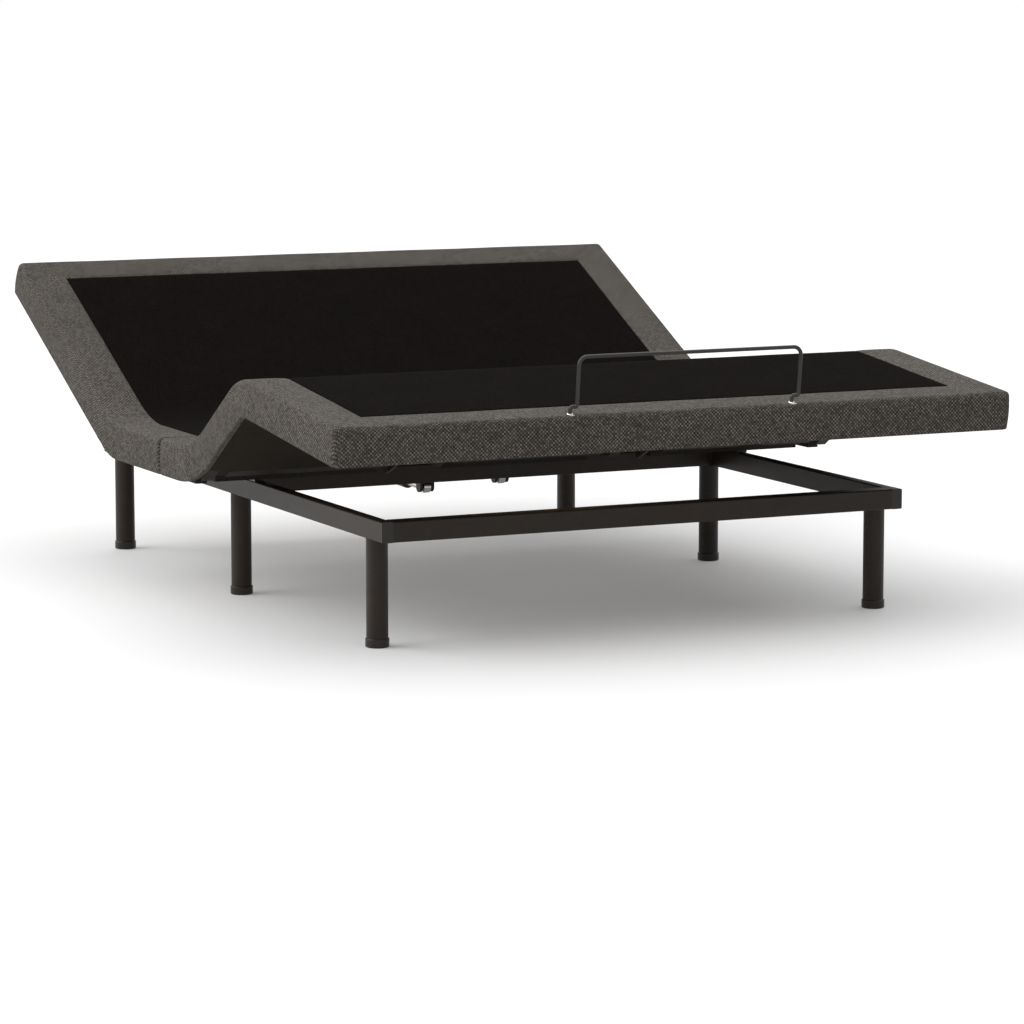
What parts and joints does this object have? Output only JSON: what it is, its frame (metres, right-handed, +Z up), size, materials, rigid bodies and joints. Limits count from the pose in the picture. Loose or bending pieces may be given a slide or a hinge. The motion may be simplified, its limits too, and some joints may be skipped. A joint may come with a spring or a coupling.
{
  "type": "adjustable bed base",
  "caption": "Queen-size adjustable bed base: upholstered head, seat, thigh and leg sections on a steel frame with legs, with lift linkages, actuators and a mattress retainer bar.",
  "frame": {"origin": "on the floor under the middle of the base", "axes": "+Z up, +Y towards the head end, +X to the right seen from the foot end"},
  "size_m": [1.524, 1.9586, 0.6584],
  "materials": {
    "tweed": "woven grey-brown basket weave",
    "nonslip_cloth": "matt black non-slip cloth",
    "dust_cloth": "thin black non-woven cloth",
    "plywood": "sanded birch plywood",
    "timber": "planed pine",
    "frame_paint": "satin dark brown powder coat",
    "zinc_steel": "zinc plated",
    "black_plastic": "fine moulded grain",
    "roller_nylon": "turned nylon",
    "bright_rod": "ground and plated",
    "bar_wire": "dark satin lacquer",
    "socket_metal": "bright plated"
  },
  "bodies": {
    "base_frame": {"actuator_anchor_tube": "frame_paint", "actuator_pins": "zinc_steel", "control_box": "black_plastic", "electrics_strap": "frame_paint", "foot_caps": "black_plastic", "foot_end_legs": "frame_paint", "foot_rail": "frame_paint", "head_end_legs": "frame_paint", "head_rail": "frame_paint", "leg_studs": "zinc_steel", "lift_tube_brackets": "frame_paint", "middle_legs": "frame_paint", "middle_rail": "frame_paint", "power_supply": "black_plastic", "rail_end_caps": "black_plastic", "seat_battens": "timber", "seat_board": "plywood", "seat_front_cover": "tweed", "seat_front_nonslip_panel": "nonslip_cloth", "seat_hinge_pins": "zinc_steel", "seat_hinge_plates": "zinc_steel", "seat_link_brackets": "frame_paint", "seat_rear_cover": "tweed", "seat_rear_nonslip_panel": "nonslip_cloth", "seat_spacers": "black_plastic", "side_rail_left": "frame_paint", "side_rail_right": "frame_paint"},
    "head_section": {"head_cover": "tweed", "head_board": "plywood", "head_battens": "timber", "head_dust_cover": "dust_cloth", "head_nonslip_panel": "nonslip_cloth", "head_hinge_moving_plates": "zinc_steel"},
    "thigh_section": {"thigh_cover": "tweed", "thigh_board": "plywood", "thigh_battens": "timber", "thigh_dust_cover": "dust_cloth", "thigh_nonslip_panel": "nonslip_cloth", "thigh_hinge_moving_plates": "zinc_steel", "knee_hinge_thigh_plates": "zinc_steel", "knee_hinge_pins": "zinc_steel"},
    "leg_section": {"leg_cover": "tweed", "leg_board": "plywood", "leg_battens": "timber", "leg_dust_cover": "dust_cloth", "leg_nonslip_panel": "nonslip_cloth", "knee_hinge_leg_plates": "zinc_steel", "leg_link_brackets": "frame_paint", "retainer_sockets": "socket_metal"},
    "retainer_bar": {"retainer_bar": "bar_wire"},
    "head_lift": {"head_lift_tube": "frame_paint"},
    "head_rollers": {"head_lift_rollers": "roller_nylon"},
    "foot_lift": {"foot_lift_tube": "frame_paint"},
    "foot_rollers": {"foot_lift_rollers": "roller_nylon"},
    "leg_links": {"leg_links": "frame_paint"},
    "head_actuator": {"head_actuator_casing": "black_plastic"},
    "head_actuator_rod": {"head_actuator_rod": "bright_rod"},
    "foot_actuator": {"foot_actuator_casing": "black_plastic"},
    "foot_actuator_rod": {"foot_actuator_rod": "bright_rod"}
  },
  "joints": [
    {"name": "head_raise", "type": "hinge", "parent": "base_frame", "child": "head_section", "pos_m": [0, 0.313, 0.333], "axis": [1, 0, 0], "range_deg": [-26.1, 33.8]},
    {"name": "thigh_raise", "type": "hinge", "parent": "base_frame", "child": "thigh_section", "pos_m": [0, -0.187, 0.333], "axis": [-1, 0, 0], "range_deg": [-32.5, 5.4]},
    {"name": "knee_bend", "type": "hinge", "parent": "thigh_section", "child": "leg_section", "pos_m": [0, -0.47778, 0.46377], "axis": [-1, 0, 0], "range_deg": [-6.5, 38.6]},
    {"name": "bar_lift_out", "type": "slide", "parent": "leg_section", "child": "retainer_bar", "axis": [0, -0.1045, 0.9945], "range_m": [0, 0.04]},
    {"name": "head_lift_turn", "type": "hinge", "parent": "base_frame", "child": "head_lift", "pos_m": [0, 0.176, 0.262], "axis": [1, 0, 0], "range_deg": [-14.6, 18.9]},
    {"name": "head_roller_spin", "type": "hinge", "parent": "head_lift", "child": "head_rollers", "pos_m": [0, 0.48985, 0.3888], "axis": [1, 0, 0], "continuous": true},
    {"name": "foot_lift_turn", "type": "hinge", "parent": "base_frame", "child": "foot_lift", "pos_m": [0, 0.046, 0.28], "axis": [-1, 0, 0], "range_deg": [-14.8, 2.6]},
    {"name": "foot_roller_spin", "type": "hinge", "parent": "foot_lift", "child": "foot_rollers", "pos_m": [0, -0.36261, 0.41553], "axis": [-1, 0, 0], "continuous": true},
    {"name": "leg_link_turn", "type": "hinge", "parent": "base_frame", "child": "leg_links", "pos_m": [0, -0.17, 0.281], "axis": [-1, 0, 0], "range_deg": [-30.2, 5.2]},
    {"name": "head_actuator_tilt", "type": "hinge", "parent": "base_frame", "child": "head_actuator", "pos_m": [0.12, 0.56, 0.215], "axis": [1, 0, 0], "range_deg": [-0.6, 0.7]},
    {"name": "head_actuator_stroke", "type": "slide", "parent": "head_actuator", "child": "head_actuator_rod", "axis": [0, -0.9991, -0.043], "range_m": [-0.0208, 0.0162]},
    {"name": "foot_actuator_tilt", "type": "hinge", "parent": "base_frame", "child": "foot_actuator", "pos_m": [-0.12, 0.56, 0.215], "axis": [1, 0, 0], "range_deg": [-0.2, 0.2]},
    {"name": "foot_actuator_stroke", "type": "slide", "parent": "foot_actuator", "child": "foot_actuator_rod", "axis": [0, -0.9998, -0.0193], "range_m": [-0.0194, 0.0034]}
  ],
  "couplings": [
    {"joint": "knee_bend", "follows": "thigh_raise", "ratio": -1.1846},
    {"joint": "head_lift_turn", "follows": "head_raise", "ratio": 0.554},
    {"joint": "foot_lift_turn", "follows": "thigh_raise", "ratio": 0.45},
    {"joint": "leg_link_turn", "follows": "thigh_raise", "ratio": 0.923},
    {"joint": "head_actuator_tilt", "follows": "head_raise", "ratio": 0.0161},
    {"joint": "head_actuator_stroke", "follows": "head_raise", "m_per_rad": -0.034988},
    {"joint": "foot_actuator_tilt", "follows": "thigh_raise", "ratio": 0.0035},
    {"joint": "foot_actuator_stroke", "follows": "thigh_raise", "m_per_rad": 0.033613}
  ]
}
